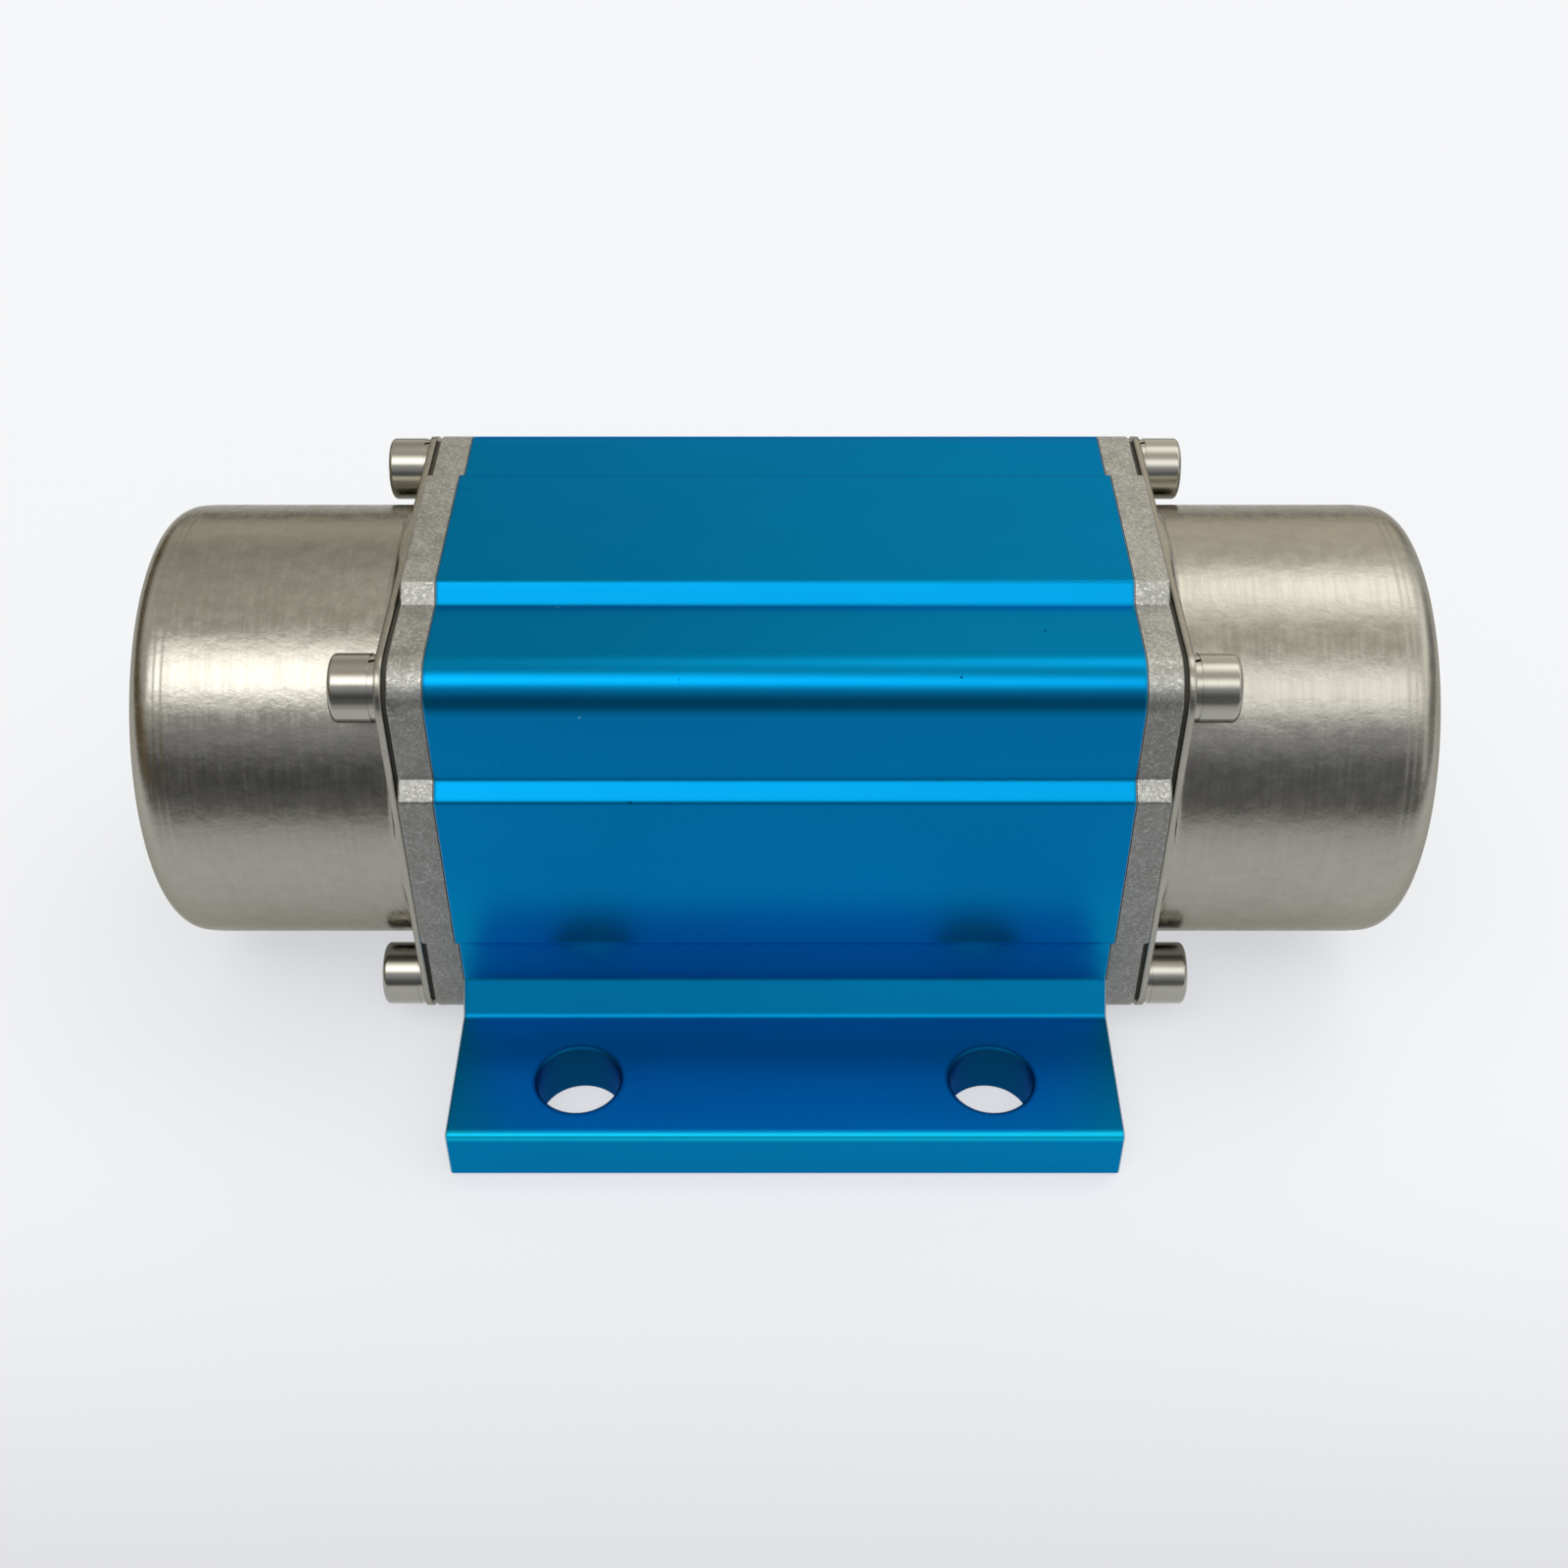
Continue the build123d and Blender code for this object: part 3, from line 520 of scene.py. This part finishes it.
def stainless_sheet():
    finish = Finish("stainless_sheet")
    brush = finish.rings(0.18)
    streaks = finish.step(finish.noise((0.45, 7.0, 7.0), detail=3), 0.36, 0.66)
    grain = finish.noise(0.30, detail=3, roughness=0.7)
    blotches = finish.step(finish.noise((1.9, 1.5, 1.5), detail=4, roughness=0.6), 0.3, 0.7)
    cloud = finish.noise(16, detail=2)
    tone = 0.15 * brush + 0.35 * grain + 0.20 * blotches + 0.30 * cloud
    dents = finish.bump(0.15 * grain + 0.85 * blotches, 0.015, under=finish.rounded(PRESSED_MM))
    return finish.set({
        "Base Color": finish.mix(tone, SHEET_DARK, SHEET_LIGHT),
        "Specular Tint": SHEET_OUTLINE,
        "Roughness": 0.12 + 0.07 * streaks + 0.07 * grain + 0.07 * blotches,
        "Normal": finish.bump(brush, 0.0015, under=dents)})


print("the cups run from", SHEET_DARK, "to", SHEET_LIGHT)

# %% [markdown]
# ## The other metals
# What is turned on a lathe keeps rings round its axle, and what is cast or blackened has an even
# grain. Inside, the iron is a stack of thin sheets, and the windings are wire laid side by side: both
# are modelled whole, so their lines come from a wave along the piece. Each function says only what
# differs from piece to piece.

# %% Turned and plain metals
def turned_metal(name, dark, light, roughness, mark_mm=0.12, axle="X", depth_mm=0.002):
    """A metal that was turned or ground while it spun."""
    finish = Finish(name)
    marks = finish.rings(mark_mm, axle)
    cloud = finish.noise(5)
    return finish.set({
        "Base Color": finish.mix(0.6 * marks + 0.4 * cloud, dark, light),
        "Roughness": roughness - 0.06 + 0.08 * marks + 0.06 * cloud,
        "Normal": finish.bump(marks, depth_mm)})


def plain_metal(name, dark, light, roughness, grain_mm, bump_mm):
    """A metal with an even grain, as cast or blackened."""
    finish = Finish(name)
    grain = finish.noise(grain_mm)
    cloud = finish.noise(9 * grain_mm)
    return finish.set({
        "Base Color": finish.mix(0.6 * grain + 0.4 * cloud, dark, light),
        "Roughness": roughness - 0.07 + 0.1 * grain + 0.05 * cloud,
        "Normal": finish.bump(grain, bump_mm)})


print("turned and plain metals are ready")


# %% Laminated steel and enamelled copper
def laminated_steel(sheet_mm):
    """Punched steel sheets, stacked along the shaft, with a thin dark coat between them."""
    finish = Finish("lamination")
    along = finish.split(finish.here)[0]
    wave = finish.maths("SINE", along * (math.pi / (sheet_mm * MM)))
    on_sheet = finish.step(finish.maths("ABSOLUTE", wave), 0.0, 0.35)
    blueing = finish.noise(4)
    steel = finish.mix(blueing, (0.20, 0.21, 0.24), (0.33, 0.33, 0.34))
    return finish.set({
        "Base Color": finish.mix(on_sheet, (0.05, 0.05, 0.055), steel),
        "Roughness": 0.5 - 0.1 * on_sheet,
        "Normal": finish.bump(on_sheet, 0.03)})


def enamelled_copper(wire_mm):
    """Copper wires in a clear amber enamel, wound side by side, with painted shade between them."""
    finish = Finish("copper")
    wander = 0.7 * finish.noise(2.5)
    from_axle = finish.vector_maths("SUBTRACT", finish.here, tuple(AXLE))
    from_axle = finish.vector_maths("MULTIPLY", from_axle, (0, 1, 1))
    radius = finish.vector_maths("LENGTH", from_axle, output="Value") / (wire_mm * MM) + wander
    along = finish.split(finish.here)[0] / (wire_mm * MM) + wander
    ridge = finish.maths("ABSOLUTE", finish.maths("SINE", (along + radius) * math.pi))
    # Darker between the wires: painted shade.
    tone = 0.7 * ridge + 0.3 * finish.noise(1.2)
    return finish.set({
        "Base Color": finish.mix(tone, (0.20, 0.055, 0.02), (0.66, 0.27, 0.10)),
        "Roughness": 0.42 - 0.15 * ridge,
        "Coat Weight": 0.5 * ridge,
        "Normal": finish.bump(ridge, 0.12)})


print("laminations and windings are ready")

# %% [markdown]
# ## Rubber, film and moulded plastic
# These aren't metal: their colour is under the surface, and their shine is the same for all colours.
# Their texture is a fine grain from the mould.

# %% Soft and moulded stuff
def soft_stuff(name, dark, light, roughness, grain_mm, bump_mm):
    finish = Finish(name, metallic=0.0)
    grain = finish.noise(grain_mm)
    dust = finish.noise(14 * grain_mm, detail=3)
    return finish.set({
        "Base Color": finish.mix(0.4 * grain + 0.6 * dust, dark, light),
        "Roughness": roughness - 0.1 + 0.12 * grain + 0.08 * dust,
        "Normal": finish.bump(grain, bump_mm)})


print("soft and moulded stuff is ready")

# %% [markdown]
# ## One finish for each material slot
# The frame's record names a material slot for every piece, and each slot gets one finish. A turned
# piece takes the same rings whatever its size, because they are real marks, tenths of a millimetre
# apart, and the gland's rings run round its own axle, across the motor.

# %% Give every piece its finish
finishes = {
    "blue_anodised": blue_anodised(),
    "cast_aluminium": cast_aluminium(),
    "stainless_sheet": stainless_sheet(),
    "stainless_screw": turned_metal(
        "stainless_screw", (0.31, 0.30, 0.26), (0.45, 0.44, 0.39), roughness=0.16, depth_mm=0.001),
    "gasket": soft_stuff(
        "gasket", (0.045, 0.042, 0.035), (0.11, 0.105, 0.09), roughness=0.8, grain_mm=0.3, bump_mm=0.02),
    "black_rubber": soft_stuff(
        "black_rubber", (0.015, 0.015, 0.015), (0.035, 0.035, 0.035),
        roughness=0.6, grain_mm=0.6, bump_mm=0.01),
    "lamination": laminated_steel(sheet_mm=0.5),
    "insulation": soft_stuff(
        "insulation", (0.52, 0.45, 0.27), (0.70, 0.64, 0.45), roughness=0.5, grain_mm=1.5, bump_mm=0.01),
    "copper": enamelled_copper(wire_mm=0.45),
    "rotor_casting": plain_metal(
        "rotor_casting", (0.42, 0.42, 0.42), (0.62, 0.62, 0.61), roughness=0.4, grain_mm=0.9, bump_mm=0.02),
    "ground_steel": turned_metal(
        "ground_steel", (0.40, 0.40, 0.41), (0.54, 0.54, 0.55), roughness=0.25),
    "bearing_steel": turned_metal(
        "bearing_steel", (0.54, 0.54, 0.55), (0.63, 0.63, 0.64), roughness=0.12, depth_mm=0.0005),
    "cage_plastic": soft_stuff(
        "cage_plastic", (0.33, 0.20, 0.09), (0.46, 0.31, 0.17), roughness=0.5, grain_mm=1.2, bump_mm=0.01),
    "spring_steel": plain_metal(
        "spring_steel", (0.09, 0.09, 0.10), (0.19, 0.19, 0.21), roughness=0.35, grain_mm=0.8, bump_mm=0.004),
    "weight_steel": turned_metal(
        "weight_steel", (0.20, 0.20, 0.21), (0.36, 0.36, 0.37),
        roughness=0.42, mark_mm=0.25, depth_mm=0.01),
    "black_screw": plain_metal(
        "black_screw", (0.028, 0.028, 0.03), (0.065, 0.065, 0.07),
        roughness=0.4, grain_mm=0.7, bump_mm=0.004),
    "nickel": turned_metal(
        "nickel", (0.40, 0.38, 0.34), (0.54, 0.52, 0.48), roughness=0.22, axle="Y"),
}

for part in frame["record"]["subparts"]:
    for holder in frame["nodes"][part["node"]].material_slots:
        holder.material = finishes[part["material_slot"]]

# %% [markdown]
